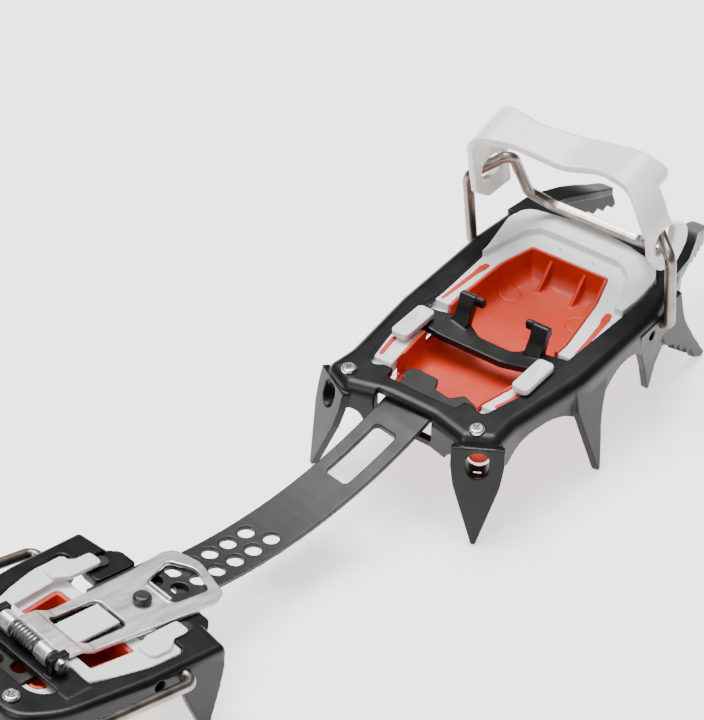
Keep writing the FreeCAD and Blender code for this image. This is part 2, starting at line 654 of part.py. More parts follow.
HEEL_SIDE_POINT = [
    (-4.0, 0, 0), (-4.5, -7, 5), (-0.5, -16, 30), (5.9, -HEEL_POINT, 0.6),
    (7.2, -HEEL_POINT, 0.6), (12.0, -14, 30), (13.8, -6, 5), (13.8, 0, 0),
]


def make_heel_frame():
    shell = slab(heel_solid_outline(), -9.0, HEEL_TOP)
    top_edges = [e for e in shell.Edges if abs(e.BoundBox.ZMin - HEEL_TOP) < 1e-6]
    body = shell.makeFillet(2.4, top_edges)
    body = body.cut(raised(shrunk(heel_solid_outline(), SHEET), -10, FLANGE_LOW))
    body = body.cut(slab(heel_window(), -10, 5))
    body = body.cut(box(1, 30, -24.5, 24.5, -10, 5))
    body = body.cut(box(7, 30, -HEEL_HALF_WIDTH + 9, HEEL_HALF_WIDTH - 9, -10, FLANGE_LOW))
    body = body.cut(box(-70, -56, -18, 18, -10, -2.6))
    body = body.cut(box(-70, -48, -BAR_WIDTH / 2 - 0.6, BAR_WIDTH / 2 + 0.6, -10, BAR_CLEAR))
    lobe_plan = [(20.0, 14.4, 1.5), (20.0, 22.6, 4.5), (15.0, 27, 1), (3.0, 27, 1), (3.0, 14.4, 2)]
    lobe = slab(lobe_plan, LOBE_TOP - SHEET, LOBE_TOP)
    lobe = lobe.fuse(box(3.6, 14.4, 24.4, 27, LOBE_TOP - 0.5, HEEL_TOP - 0.8))
    other_lobe = lobe.mirror(Vector(0, 0, 0), Vector(0, 1, 0))
    strap = box(-43, -33, -27, 27, BAR_CLEAR, BAR_CLEAR + 2.2)
    pieces = [body, lobe, other_lobe, strap]
    for side in (-1, 1):
        pieces.append(box(-41, -33.5, side * 14.9 - 1.5, side * 14.9 + 1.5, BAR_CLEAR, 8.8))
        wall = side * (HEEL_HALF_WIDTH - 0.35)
        pieces.append(side_point(HEEL_SIDE_POINT, wall, 0, 5))
        rear = side_slab([
            (-8, 0, 0), (-8, -6, 5), (-3.4, -17, 30), (-0.7, -HEEL_POINT, 0.5),
            (0.7, -HEEL_POINT, 0.5), (3.4, -17, 30), (8, -6, 5), (8, 0, 0),
        ], 0, SHEET)
        rear.rotate(Vector(0, 0, 0), Vector(1, 0, 0), -6)
        rear.rotate(Vector(0, 0, 0), Vector(0, 0, 1), -50 if side > 0 else -130)
        rear.translate(Vector(-56.6, side * 28.4, 0))
        pieces.append(rear)
    frame = fused(pieces)
    lock_axle = cross_pin(LOCK_AXLE_X, LOCK_AXLE_Z, -20, 20, LOCK_AXLE_R + 0.02)
    wire_hole = cross_pin(HEEL_PIVOT_X, HEEL_PIVOT_Z, -60, 60, HEEL_WIRE_R + FIT)
    spare_hole = cross_pin(HEEL_PIVOT_X - 10, HEEL_PIVOT_Z, -60, 60, HEEL_WIRE_R + FIT)
    frame = frame.cut(lock_axle).cut(wire_hole).cut(spare_hole)
    for side in (-1, 1):
        frame = frame.cut(disc(RIVET_X, side * RIVET_Y, -5, 8, 1.62))
        frame = frame.cut(disc(-56, side * 16, -5, 8, 1.7))
    return frame




def make_bar_guide():
    """Black channel that the bar slides through, open above the holes."""
    body = slab([(27, -13.6, 2), (27, 13.6, 2), (-3, 13.6, 1), (-3, -13.6, 1)], -4.6, 0.3)
    ear_plan = [(17, -25, 3), (17, 25, 3), (4, 25, 3), (4, -25, 3)]
    body = body.fuse(slab(ear_plan, -4.6, LOBE_TOP - SHEET - 0.05))
    half = BAR_WIDTH / 2 + GAP
    body = body.cut(box(-10, 40, -half, half, -BAR_THICK - GAP, 5))
    for run_x in (14.0, 21.0):
        body = body.cut(disc(run_x, 0, -6, 0, 3.4))
    for x, y in lock_pin_spots():
        body = body.cut(disc(x, y, -6, 5, 3.0))
    for side in (-1, 1):
        body = body.cut(disc(RIVET_X, side * RIVET_Y, -5, 8, 1.62))
    return body.removeSplitter()


def make_guide_rivets():
    rivets = []
    for side in (-1, 1):
        shank = disc(RIVET_X, side * RIVET_Y, -5.6, LOBE_TOP + 0.5, 1.6)
        low_head = disc(RIVET_X, side * RIVET_Y, -5.6, -4.62, 2.7)
        high_head = disc(RIVET_X, side * RIVET_Y, LOBE_TOP + 0.02, LOBE_TOP + 1.0, 2.7)
        rivets.append(fused([shank, low_head, high_head]))
    return Part.makeCompound(rivets)


def lock_pin_spots():
    """Two neighbouring bar holes, one in each row, in the heel's drawing frame."""
    spots = []
    for row in (-1, 1):
        ahead = [HEEL_RUN - run for run in hole_runs(row)]
        spots.append((min(ahead, key=lambda x: abs(x - 4.5)), row * HOLE_ROW_Y))
    return spots


def make_lock_plate():
    outline = [
        (31.6, -16.4, 4), (26.0, -19.3, 3), (-19, -14.2, 40), (-39.5, -12.4, 1),
        (-39.5, 12.4, 1), (-19, 10.4, 40), (14, 10.6, 40), (28.6, 12.4, 3), (33.4, 10.8, 3.5),
        (36.2, 0.4, 14),
    ]
    rear_top = PLATE_REAR_LOW + PLATE_THICK
    profile = [
        (-40, PLATE_REAR_LOW, 0), (-40, rear_top, 0), (-25.8, rear_top, 3), (-21.0, PLATE_TOP, 3),
        (40, PLATE_TOP, 0), (40, PLATE_LOW, 0), (-21.6, PLATE_LOW, 3),
        (-26.4, PLATE_REAR_LOW, 3),
    ]
    plate = slab(outline, 0, 9).common(side_slab(profile, -22, 22))
    window = [
        (28.6, -12.8, 2.5), (32.6, -1.2, 6), (27.6, 7.4, 2.5), (14.2, 3.0, 2.5), (14.2, -11.0, 2.5),
    ]
    second = [(-4.5, -10.8, 3), (-4.5, 5.8, 3), (-25, 7.0, 3), (-25, -9.6, 3)]
    plate = plate.cut(slab(window, 0, 9)).cut(slab(second, 0, 9))
    plate = plate.cut(box(-42, -32.4, -6.4, 6.4, 0, 12))
    lip = side_slab([
        (14.5, PLATE_TOP - 0.3, 0), (15.3, PLATE_TOP + 0.9, 0.4), (14.2, PLATE_TOP + 1.2, 0.4),
        (13.2, PLATE_TOP - 0.1, 0), (13.2, PLATE_LOW + 0.2, 0), (14.5, PLATE_LOW + 0.2, 0),
    ], -9.4, 1.6)
    knuckles = []
    for side in (-1, 1):
        low = min(side * 6.4, side * 12.4)
        knuckles.append(cross_pin(LOCK_AXLE_X, LOCK_AXLE_Z, low, low + 6, 3.1))
    plate = fused([plate, lip] + knuckles)
    bore = cross_pin(LOCK_AXLE_X, LOCK_AXLE_Z, -20, 20, LOCK_AXLE_R + FIT)
    peg_x, peg_y = lock_pin_spots()[0]
    return plate.cut(bore).cut(disc(peg_x, peg_y, 0, 9, 1.5))


def pin_below(x, y):
    """Round pin from the plate's underside down through a hole of the bar."""
    pin = disc(x, y, -BAR_THICK - 0.8, PLATE_LOW, 2.4)
    return pin.makeChamfer(0.5, [e for e in pin.Edges if e.BoundBox.ZMax < -2])


def make_lock_pin():
    """Blind pin welded under the lock plate for the left row of holes."""
    x, y = lock_pin_spots()[1]
    return pin_below(x, y)


def make_lock_peg():
    """Domed finger peg whose shank goes on through the plate as the right row's pin."""
    x, y = lock_pin_spots()[0]
    neck = disc(x, y, PLATE_TOP, PLATE_TOP + PEG_NECK, 2.1)
    head = disc(x, y, PLATE_TOP + PEG_NECK, PLATE_TOP + PEG_NECK + PEG_HEAD, PEG_R)
    rim = [e for e in head.Edges if e.BoundBox.ZMin > PLATE_TOP + PEG_NECK + 0.1]
    head = head.makeFillet(1.3, rim)
    shank = disc(x, y, PLATE_LOW - 0.1, PLATE_TOP + 0.1, 1.46)
    return fused([neck, head, shank, pin_below(x, y)])


def make_lock_axle():
    shaft = cross_pin(LOCK_AXLE_X, LOCK_AXLE_Z, -17.6, 17.6, LOCK_AXLE_R)
    heads = [
        cross_pin(LOCK_AXLE_X, LOCK_AXLE_Z, -18.4, -16.5, 2.4),
        cross_pin(LOCK_AXLE_X, LOCK_AXLE_Z, 16.5, 18.4, 2.4),
    ]
    return fused([shaft] + heads)


def make_lock_spring():
    """Closed coil of the torsion spring round the lock axle."""
    turns = 7
    pitch = 1.5
    start = -turns * pitch / 2
    profile = [Vector(1.75, start, 0), Vector(2.4, start, 0)]
    for i in range(turns):
        profile.append(Vector(3.0, start + (i + 0.3) * pitch, 0))
        profile.append(Vector(3.0, start + (i + 0.7) * pitch, 0))
        profile.append(Vector(2.4, start + (i + 1) * pitch, 0))
    profile.append(Vector(1.75, start + turns * pitch, 0))
    face = Part.Face(Part.makePolygon(profile + profile[:1]))
    coil = face.revolve(Vector(0, 0, 0), Vector(0, 1, 0), 360)
    coil.translate(Vector(LOCK_AXLE_X, 0, LOCK_AXLE_Z))
    return coil


def make_heel_antiball_frame():
    """White clip-in plate of the heel section, bridging over the bar."""
    ring_plan = [
        (6.6, -33.8, 3), (-12, -33.4, 30), (-24, -30.0, 30), (-52, -22, 8), (-52, 22, 8),
        (-24, 30.0, 30), (-12, 33.4, 30), (6.6, 33.8, 3), (6.6, 28, 1), (-3.6, 28, 1),
        (-3.6, -28, 1), (6.6, -28, 1),
    ]
    ring_top = FLANGE_LOW - GAP
    hole = [(-8.6, 20.5, 2), (-46, 15.5, 4), (-46, -15.5, 4), (-8.6, -20.5, 2)]
    ring = slab(ring_plan, -6.2, ring_top).cut(slab(hole, -10, 5))
    half = BAR_WIDTH / 2 + GAP
    ring = ring.cut(box(-80, 10, -half, half, -BAR_THICK - 0.6, 5))
    pieces = [ring]
    for side in (-1, 1):
        lip_plan = [(1.4, 26, 1), (1.4, 31.0, 2), (-12, 30.6, 30), (-24, 27.4, 8),
                    (-32.4, 24.2, 2), (-32.4, 19.4, 1), (-9.2, 21.6, 1), (-3.9, 21.6, 1),
                    (-3.9, 26, 1)]
        lip = slab(lip_plan, ring_top - 0.6, 1.9)
        lobe_plan = [(8.6, 19.0, 1.5), (8.6, 25.6, 1.5), (2.0, 25.6, 2), (-2.0, 28.8, 3),
                     (-10, 28.8, 3), (-10, 21.8, 1), (-4.5, 19.0, 2)]
        lobe = slab(lobe_plan, HEEL_TOP - 1.0, HEEL_TOP + 0.9)
        lobe = lobe.cut(box(1.6, 30, 24.0, 40, -10, HEEL_TOP + GAP))
        if side < 0:
            lip = lip.mirror(Vector(0, 0, 0), Vector(0, 1, 0))
            lobe = lobe.mirror(Vector(0, 0, 0), Vector(0, 1, 0))
        pieces.append(lip)
        pieces.append(lobe)
    pieces.append(box(-32.2, -27.8, -21, 21, BAR_CLEAR + 0.25, 2.2))
    pieces.append(box(-28.5, -5.6, -7.6, 4.0, BAR_CLEAR + 0.25, 2.0))
    return fused(pieces)


def make_heel_antiball_membrane():
    """Orange soft tray of the heel, passing under the bar."""
    plan = [(-9.0, 20.1, 2), (-45.7, 15.2, 4), (-45.7, -15.2, 4), (-9.0, -20.1, 2)]
    tray = slab(plan, -11.5, -1.2)
    cavity = raised(shrunk(plan, 1.4), -10.0, 2)
    flange = raised(shrunk(plan, -3.0), -7.8, -6.5)
    bulge = raised(shrunk(plan, 5.0), -14.0, -11.5)
    body = fused([tray, flange, bulge]).cut(cavity)
    return body.cut(box(-80, 10, -BAR_WIDTH / 2 - 0.8, BAR_WIDTH / 2 + 0.8, -4.0, 2))


def make_heel_screws():
    top = HEEL_TOP + 0.02
    return Part.makeCompound([pan_screw(-56, y, top, 8.4, 1.6, 2.9) for y in (16, -16)])


def make_heel_screw_pads():
    """Moulded ears that the heel screws clamp under the rear flange."""
    ears = []
    for y in (16, -16):
        ear = disc(-56, y, -4.4, FLANGE_LOW - 0.05, 3.0).cut(disc(-56, y, -6, 3, 1.68))
        ears.append(ear)
    return Part.makeCompound(ears)




def make_heel_bail():
    """Wire bail of the heel, lying back behind the frame."""
    half = [
        Vector(HEEL_PIVOT_X, 35.0, HEEL_PIVOT_Z), Vector(HEEL_PIVOT_X, 41.6, HEEL_PIVOT_Z),
        Vector(-57, 41.8, 3.2), Vector(-HEEL_WIRE_REACH, 17.5, HEEL_CROSS_Z),
    ]
    other = [Vector(p.x, -p.y, p.z) for p in half]
    radii = [3.4, 14, 6, 6, 14, 3.4]
    return bent_wire(half + other[::-1], radii, HEEL_WIRE_R)


def lever_placed(shape):
    """Lean a shape drawn upright at the cross wire back to its lying place."""
    shape.rotate(Vector(0, 0, 0), Vector(0, 1, 0), -(90 + LEVER_DROOP))
    shape.translate(Vector(-HEEL_WIRE_REACH, 0, HEEL_CROSS_Z))
    return shape


# Drawn upright: z up the lever, +x towards the boot, the origin on the cross wire.


def make_heel_lever():
    half = LEVER_WIDTH / 2
    side = [
        (-5, -9, 3), (5.5, -9, 1.5), (6.0, 8, 20), (3.0, 30, 60), (-3.5, 58, 3),
        (-9.5, 57, 3), (-6.5, 30, 60), (-5.5, 8, 20),
    ]
    body = side_slab(side, -half, half)
    body = body.cut(side_slab([
        (1.2, -12, 0), (8, -12, 0), (8, 21, 0), (1.2, 21, 2),
    ], -7.35, 7.35))
    strap_slot = [(-8.5, 44, 1.4), (8.5, 44, 1.4), (8.5, 48, 1.4), (-8.5, 48, 1.4)]
    light_hole = [(-5, 26, 4), (5, 26, 4), (4, 38, 3.5), (-4, 38, 3.5)]
    body = body.cut(cross_slab(strap_slot, -20, 20)).cut(cross_slab(light_hole, -20, 20))
    body = body.cut(cross_pin(0, 0, -30, 30, HEEL_WIRE_R + FIT))
    return lever_placed(body)


def make_lever_pad():
    """Soft thumb pad around the lever's tip."""
    tip = side_slab([
        (-2.7, 50.5, 1), (-3.6, 61, 4), (-11.4, 60.5, 3), (-10.5, 50.5, 1),
    ], -LEVER_WIDTH / 2 - 1.2, LEVER_WIDTH / 2 + 1.2)
    hollow = side_slab([
        (5.7, 7.8, 0), (3.02, 30, 60), (-3.48, 58.05, 3), (-9.52, 57.05, 3),
        (-6.52, 30, 60), (-5.5, 7.8, 0),
    ], -LEVER_WIDTH / 2 - 0.02, LEVER_WIDTH / 2 + 0.02)
    return lever_placed(tip.cut(hollow))


def make_lever_hook():
    """Sliding block with the lip that bears on the boot's heel ledge."""
    block = side_slab([
        (2.6, -6.0, 0.5), (2.6, 14, 1), (7.4, 14, 1), (8.4, 3.6, 1), (14.5, 1.6, 0.8),
        (14.5, -0.6, 0.8), (8.0, -6.0, 1),
    ], -7.0, 7.0)
    thread = disc(4.6, 0, -20, 30, SCREW_R + 0.04)
    return lever_placed(block.cut(thread))




def make_height_screw():
    """Screw that runs the sliding block up and down the lever."""
    shaft = disc(4.6, 0, -8.4, 20.6, SCREW_R)
    head = disc(4.6, 0, 17.6, 20.6, 1.5)
    collar = disc(4.6, 0, -8.8, -7.2, 2.6)
    slot = box(2.0, 7.2, -0.35, 0.35, -9, -8.2)
    return lever_placed(fused([shaft, head, collar]).cut(slot))


# ---------------------------------------------------------------- writing the parts
def front_placed(shape):
    """Turn a shape from the front section's frame to the row's axes."""
    shape = shape.copy()
    shape.rotate(Vector(0, 0, 0), Vector(0, 0, 1), TOE_ANGLE)
    return shape


FRONT_PARTS = {
    "front_frame": make_front_frame,
    "front_antiball_frame": make_front_antiball_frame,
    "front_antiball_membrane": make_front_antiball_membrane,
    "front_screws": make_front_screws,
    "front_screw_inserts": make_front_screw_inserts,
    "toe_bail": make_toe_bail,
    "toe_cradle": make_toe_cradle,
}

HEEL_PARTS = {
    "heel_frame": make_heel_frame,
    "bar_guide": make_bar_guide,
    "guide_rivets": make_guide_rivets,
    "lock_plate": make_lock_plate,
    "lock_pin": make_lock_pin,
    "lock_peg": make_lock_peg,
    "lock_axle": make_lock_axle,
    "lock_spring": make_lock_spring,
    "heel_antiball_frame": make_heel_antiball_frame,
    "heel_antiball_membrane": make_heel_antiball_membrane,
    "heel_screws": make_heel_screws,
    "heel_screw_pads": make_heel_screw_pads,
    "heel_bail": make_heel_bail,
    "heel_lever": make_heel_lever,
    "lever_pad": make_lever_pad,
    "lever_hook": make_lever_hook,
    "height_screw": make_height_screw,
}


def build():
    shapes = {name: front_placed(make()) for name, make in FRONT_PARTS.items()}
    shapes["linking_bar"] = make_linking_bar()
    for name, make in HEEL_PARTS.items():
        shapes[name] = heel_placed(make())
    whole = FreeCAD.BoundBox()
    for shape in shapes.values():
        whole.add(shape.optimalBoundingBox(False, False))
    centre = Vector(whole.Center.x, whole.Center.y, whole.ZMin)
    for name, shape in shapes.items():
        shape.translate(centre * -1)
        shape.exportStep("parts/" + name + ".step")
        print(name, "solids", len(shape.Solids), "valid", shape.isValid(),
              "volume", round(shape.Volume, 1))
    print("row origin in the front section's axes", centre)
    print("size", whole.XLength, whole.YLength, whole.ZLength)


build()
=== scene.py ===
import bpy
import bmesh
import json
import math
import numpy as np
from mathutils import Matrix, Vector


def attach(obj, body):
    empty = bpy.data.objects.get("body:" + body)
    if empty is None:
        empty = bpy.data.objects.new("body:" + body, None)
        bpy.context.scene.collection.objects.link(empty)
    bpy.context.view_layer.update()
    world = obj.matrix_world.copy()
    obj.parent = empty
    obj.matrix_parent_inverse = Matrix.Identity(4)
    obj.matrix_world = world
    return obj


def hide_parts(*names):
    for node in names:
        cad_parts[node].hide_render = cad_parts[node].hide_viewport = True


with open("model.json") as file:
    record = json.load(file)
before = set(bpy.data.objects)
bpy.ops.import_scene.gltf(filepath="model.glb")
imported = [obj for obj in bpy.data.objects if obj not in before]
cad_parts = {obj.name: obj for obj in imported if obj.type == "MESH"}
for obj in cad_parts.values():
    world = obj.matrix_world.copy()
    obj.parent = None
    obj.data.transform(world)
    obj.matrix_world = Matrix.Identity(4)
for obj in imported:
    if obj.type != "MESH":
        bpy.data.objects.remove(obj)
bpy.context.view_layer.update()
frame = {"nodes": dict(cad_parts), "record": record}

# ------------------------------------------------------------ where the front section lies
MM = 0.001
CENTRE = np.array([-52.53558, 10.00014, -41.38512])   # row origin in the front section's axes, mm
TOE = math.radians(9.0)
TURN_Z = np.array([[math.cos(TOE), -math.sin(TOE), 0], [math.sin(TOE), math.cos(TOE), 0], [0, 0, 1]])


def front_to_row(points):
    """Front section millimetres to row metres."""
    return (np.asarray(points, float) @ TURN_Z.T - CENTRE) * MM


def row_to_front(points):
    return (np.asarray(points, float) / MM + CENTRE) @ TURN_Z


# ------------------------------------------------------------ mesh helpers
def new_object(name, mesh, body, slot_name, material, *nodes):
    obj = bpy.data.objects.new(name, mesh)
    bpy.context.scene.collection.objects.link(obj)
    mesh.materials.clear()
    mesh.materials.append(material)
    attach(obj, body)
    if nodes:
        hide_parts(*nodes)
    return obj


def mesh_from(name, verts, faces):
    mesh = bpy.data.meshes.new(name)
    mesh.from_pydata([tuple(v) for v in verts], [], faces)
    mesh.validate()
    mesh.update()
    return mesh


def outward(mesh):
    """Merge doubled points and turn every face outwards."""
    work = bmesh.new()
    work.from_mesh(mesh)
    bmesh.ops.remove_doubles(work, verts=work.verts, dist=1e-6)
    bmesh.ops.recalc_face_normals(work, faces=work.faces)
    if work.calc_volume(signed=True) < 0:
        bmesh.ops.reverse_faces(work, faces=work.faces)
    work.to_mesh(mesh)
    work.free()
    return mesh


def applied(mesh, *settings):
    """The mesh after a list of (modifier type, {property: value})."""
    obj = bpy.data.objects.new("work", mesh)
    bpy.context.scene.collection.objects.link(obj)
    for kind, values in settings:
        modifier = obj.modifiers.new(kind, kind)
        for key, value in values.items():
            setattr(modifier, key, value)
    graph = bpy.context.evaluated_depsgraph_get()
    graph.update()
    result = bpy.data.meshes.new_from_object(obj.evaluated_get(graph))
    bpy.data.objects.remove(obj)
    return result


def node_mesh(node):
    source = frame["nodes"][node]
    mesh = source.data.copy()
    mesh.transform(source.matrix_world)
    work = bmesh.new()
    work.from_mesh(mesh)
    bmesh.ops.remove_doubles(work, verts=work.verts, dist=2e-6)
    work.to_mesh(mesh)
    work.free()
    return mesh


def joined(meshes):
    work = bmesh.new()
    for mesh in meshes:
        work.from_mesh(mesh)
    mesh = bpy.data.meshes.new("joined")
    work.to_mesh(mesh)
    work.free()
    return mesh


def coords(mesh):
    values = np.empty(len(mesh.vertices) * 3)
    mesh.vertices.foreach_get("co", values)
    return values.reshape(-1, 3)


def set_coords(mesh, values):
    mesh.vertices.foreach_set("co", values.reshape(-1))
    mesh.update()


def normals(mesh):
    values = np.empty(len(mesh.vertices) * 3)
    mesh.vertices.foreach_get("normal", values)
    return values.reshape(-1, 3)


def smooth_shaded(mesh):
    mesh.polygons.foreach_set("use_smooth", [True] * len(mesh.polygons))
    mesh.update()
    return mesh


def moulded(meshes, voxel, rounds, sculpt=None):
    """One skin over closed solids, with edges rounded by the voxel size and smoothing."""
    mesh = applied(joined(meshes), ("REMESH", {"mode": "VOXEL", "voxel_size": voxel * MM}))
    if rounds:
        mesh = applied(mesh, ("SMOOTH", {"factor": 0.5, "iterations": rounds}))
    if sculpt is not None:
        set_coords(mesh, sculpt(coords(mesh), normals(mesh)))
    return smooth_shaded(mesh)


def subtracted(mesh, boxes):
    """Mesh less some closed box meshes that are already in the row frame."""
    obj = bpy.data.objects.new("work", mesh)
    bpy.context.scene.collection.objects.link(obj)
    cutters = []
    for box_mesh in boxes:
        cutter = bpy.data.objects.new("cutter", box_mesh)
        bpy.context.scene.collection.objects.link(cutter)
        cutters.append(cutter)
        modifier = obj.modifiers.new("cut", "BOOLEAN")
        modifier.operation = "DIFFERENCE"
        modifier.solver = "EXACT"
        modifier.object = cutter
    graph = bpy.context.evaluated_depsgraph_get()
    graph.update()
    result = bpy.data.meshes.new_from_object(obj.evaluated_get(graph))
    for item in cutters + [obj]:
        bpy.data.objects.remove(item)
    return result


def box_mesh(place, low, high):
    """Closed box between two corners of a section's own frame, put in the row frame."""
    corners = [(x, y, z) for x in (low[0], high[0]) for y in (low[1], high[1])
               for z in (low[2], high[2])]
    faces = [(0, 1, 3, 2), (4, 6, 7, 5), (0, 4, 5, 1), (2, 3, 7, 6), (0, 2, 6, 4), (1, 5, 7, 3)]
    return outward(mesh_from("box", place(corners), faces))


def prism_mesh(place, outline, z_low, z_high):
    """Closed prism over a plan outline of a section's own frame."""
    count = len(outline)
    corners = [(x, y, z_low) for x, y in outline] + [(x, y, z_high) for x, y in outline]
    faces = [tuple(range(count))[::-1], tuple(range(count, 2 * count))]
    for i in range(count):
        j = (i + 1) % count
        faces.append((i, j, count + j, count + i))
    return mesh_from("prism", place(corners), faces)


def rounded_outline(corners, step=1.2):
    """Points along a plan outline given by (x, y, radius) corners."""
    points = []
    count = len(corners)
    for i, (x, y, radius) in enumerate(corners):
        p = np.array([x, y], float)
        back = np.array(corners[i - 1][:2], float) - p
        ahead = np.array(corners[(i + 1) % count][:2], float) - p
        back /= np.linalg.norm(back)
        ahead /= np.linalg.norm(ahead)
        half = math.acos(max(-1, min(1, float(back @ ahead)))) / 2
        if radius <= 0 or abs(half - math.pi / 2) < 1e-3:
            points.append(p)
            continue
        centre = p + (back + ahead) / np.linalg.norm(back + ahead) * radius / math.sin(half)
        start = p + back * radius / math.tan(half)
        end = p + ahead * radius / math.tan(half)
        sweep = math.pi - 2 * half
        steps = max(2, int(radius * sweep / step) + 1)
        a = start - centre
        b = end - centre
        for k in range(steps + 1):
            t = k / steps
            mixed = (math.sin((1 - t) * sweep) * a + math.sin(t * sweep) * b) / math.sin(sweep)
            points.append(centre + mixed)
    return resampled(np.array(points), step)


def resampled(points, step):
    """Closed outline at even spacing."""
    loop = np.vstack([points, points[:1]])
    run = np.concatenate([[0], np.cumsum(np.linalg.norm(np.diff(loop, axis=0), axis=1))])
    count = int(run[-1] / step)
    marks = np.linspace(0, run[-1], count, endpoint=False)
    return np.column_stack([np.interp(marks, run, loop[:, k]) for k in (0, 1)])


def inward(points):
    """Unit normals of a closed plan outline, pointing inside."""
    tangent = np.roll(points, -1, axis=0) - np.roll(points, 1, axis=0)
    tangent /= np.linalg.norm(tangent, axis=1)[:, None]
    area = np.sum(points[:, 0] * np.roll(points[:, 1], -1) - np.roll(points[:, 0], -1) * points[:, 1])
    side = 1 if area > 0 else -1
    return np.column_stack([-tangent[:, 1], tangent[:, 0]]) * side


# ------------------------------------------------------------ materials
def node_material(name):
    material = bpy.data.materials.new(name)
    material.use_nodes = True
    tree = material.node_tree
    shader = tree.nodes["Principled BSDF"]
    coordinates = tree.nodes.new("ShaderNodeTexCoord")
    return material, tree, shader, coordinates


def noise(tree, coordinates, scale, detail=3.0, stretch=(1, 1, 1), roughness=0.5):
    mapping = tree.nodes.new("ShaderNodeMapping")
    mapping.inputs["Scale"].default_value = stretch
    texture = tree.nodes.new("ShaderNodeTexNoise")
    texture.inputs["Scale"].default_value = scale
    texture.inputs["Detail"].default_value = detail
    texture.inputs["Roughness"].default_value = roughness
    tree.links.new(coordinates.outputs["Object"], mapping.inputs["Vector"])
    tree.links.new(mapping.outputs["Vector"], texture.inputs["Vector"])
    return texture.outputs["Fac"]


def ramp(tree, value, stops):
    node = tree.nodes.new("ShaderNodeValToRGB")
    elements = node.color_ramp.elements
    for i, (place, colour) in enumerate(stops):
        element = elements[i] if i < 2 else elements.new(place)
        element.position = place
        element.color = (*colour, 1)
    tree.links.new(value, node.inputs["Fac"])
    return node.outputs["Color"]


def remap(tree, value, low, high, from_low=0.3, from_high=0.7):
    node = tree.nodes.new("ShaderNodeMapRange")
    node.inputs["From Min"].default_value = from_low
    node.inputs["From Max"].default_value = from_high
    node.inputs["To Min"].default_value = low
    node.inputs["To Max"].default_value = high
    tree.links.new(value, node.inputs["Value"])
    return node.outputs["Result"]


def bumped(tree, shader, height, strength, distance):
    node = tree.nodes.new("ShaderNodeBump")
    node.inputs["Strength"].default_value = strength
    node.inputs["Distance"].default_value = distance
    tree.links.new(height, node.inputs["Height"])
    tree.links.new(node.outputs["Normal"], shader.inputs["Normal"])


def mixed(tree, factor, first, second):
    node = tree.nodes.new("ShaderNodeMix")
    node.data_type = "RGBA"
    tree.links.new(factor, node.inputs["Factor"])
    for value, socket in ((first, node.inputs[6]), (second, node.inputs[7])):
        if isinstance(value, tuple):
            socket.default_value = (*value, 1)
        else:
            tree.links.new(value, socket)
    return node.outputs[2]


def edge_mask(tree, low, high):
    geometry = tree.nodes.new("ShaderNodeNewGeometry")
    return remap(tree, geometry.outputs["Pointiness"], 0.0, 1.0, low, high)


def make_material(name, dark, light, rough, scale=60, metal=0.0, grain=900, grain_height=0.02,
                  stretch=(1, 1, 1), coat=0.0, coat_rough=0.1, soft=0.0, soft_radius=(1, 1, 1),
                  edge=None, edge_range=(0.52, 0.6), specular=0.5):
    """Two-tone mottled colour, uneven gloss and a fine surface grain."""
    material, tree, shader, coordinates = node_material(name)
    mottle = noise(tree, coordinates, scale, 4.0, stretch)
    colour = ramp(tree, mottle, [(0.3, dark), (0.7, light)])
    if edge is not None:
        colour = mixed(tree, edge_mask(tree, *edge_range), colour, edge)
    tree.links.new(colour, shader.inputs["Base Color"])
    uneven = noise(tree, coordinates, scale * 2.7, 2.0, stretch)
    tree.links.new(remap(tree, uneven, rough[0], rough[1]), shader.inputs["Roughness"])
    shader.inputs["Metallic"].default_value = metal
    shader.inputs["Coat Weight"].default_value = coat
    shader.inputs["Coat Roughness"].default_value = coat_rough
    shader.inputs["Specular IOR Level"].default_value = specular
    if soft > 0:
        shader.inputs["Subsurface Weight"].default_value = soft
        shader.inputs["Subsurface Radius"].default_value = soft_radius
        shader.inputs["Subsurface Scale"].default_value = 0.002
    fine = noise(tree, coordinates, grain, 2.0, stretch)
    bumped(tree, shader, fine, 0.35, grain_height * MM)
    return material


BLACK = make_material("black_coat", (0.004, 0.004, 0.0045), (0.008, 0.008, 0.0085), (0.30, 0.38),
                      grain=2200, grain_height=0.03, specular=0.27)
BAR = make_material("bar_coat", (0.010, 0.010, 0.0105), (0.017, 0.017, 0.0175), (0.38, 0.48),
                    grain=2600, grain_height=0.05, specular=0.35)
WHITE = make_material("white_moulding", (0.74, 0.755, 0.775), (0.80, 0.81, 0.825), (0.42, 0.5),
                      grain=3000, grain_height=0.02, soft=0.12)
ORANGE = make_material("orange_moulding", (0.50, 0.022, 0.002), (0.62, 0.034, 0.003),
                       (0.42, 0.52), grain=2600, grain_height=0.03, soft=0.1,
                       soft_radius=(1, 0.3, 0.1))
MILKY = make_material("milky_moulding", (0.76, 0.76, 0.73), (0.82, 0.82, 0.79), (0.24, 0.30),
                      grain=1200, grain_height=0.02, soft=0.35, coat=0.15, coat_rough=0.2)
ZINC = make_material("zinc_plate", (0.62, 0.62, 0.61), (0.74, 0.74, 0.73), (0.22, 0.34),
                     metal=1.0, scale=300, grain=4000, grain_height=0.02)
INSERT = make_material("plain_steel", (0.33, 0.33, 0.33), (0.45, 0.45, 0.45), (0.35, 0.45),
                       metal=1.0, scale=200)
WIRE = make_material("drawn_wire", (0.20, 0.165, 0.140), (0.36, 0.315, 0.28), (0.27, 0.38),
                     metal=1.0, scale=90, grain=1500, grain_height=0.03)
BLACK_PLASTIC = make_material("black_moulding", (0.014, 0.014, 0.015), (0.022, 0.022, 0.023),
                              (0.34, 0.45), grain=2600, grain_height=0.03)
RIVET = make_material("dark_rivet", (0.035, 0.035, 0.034), (0.06, 0.06, 0.057), (0.32, 0.42),
                      metal=0.6, scale=300)
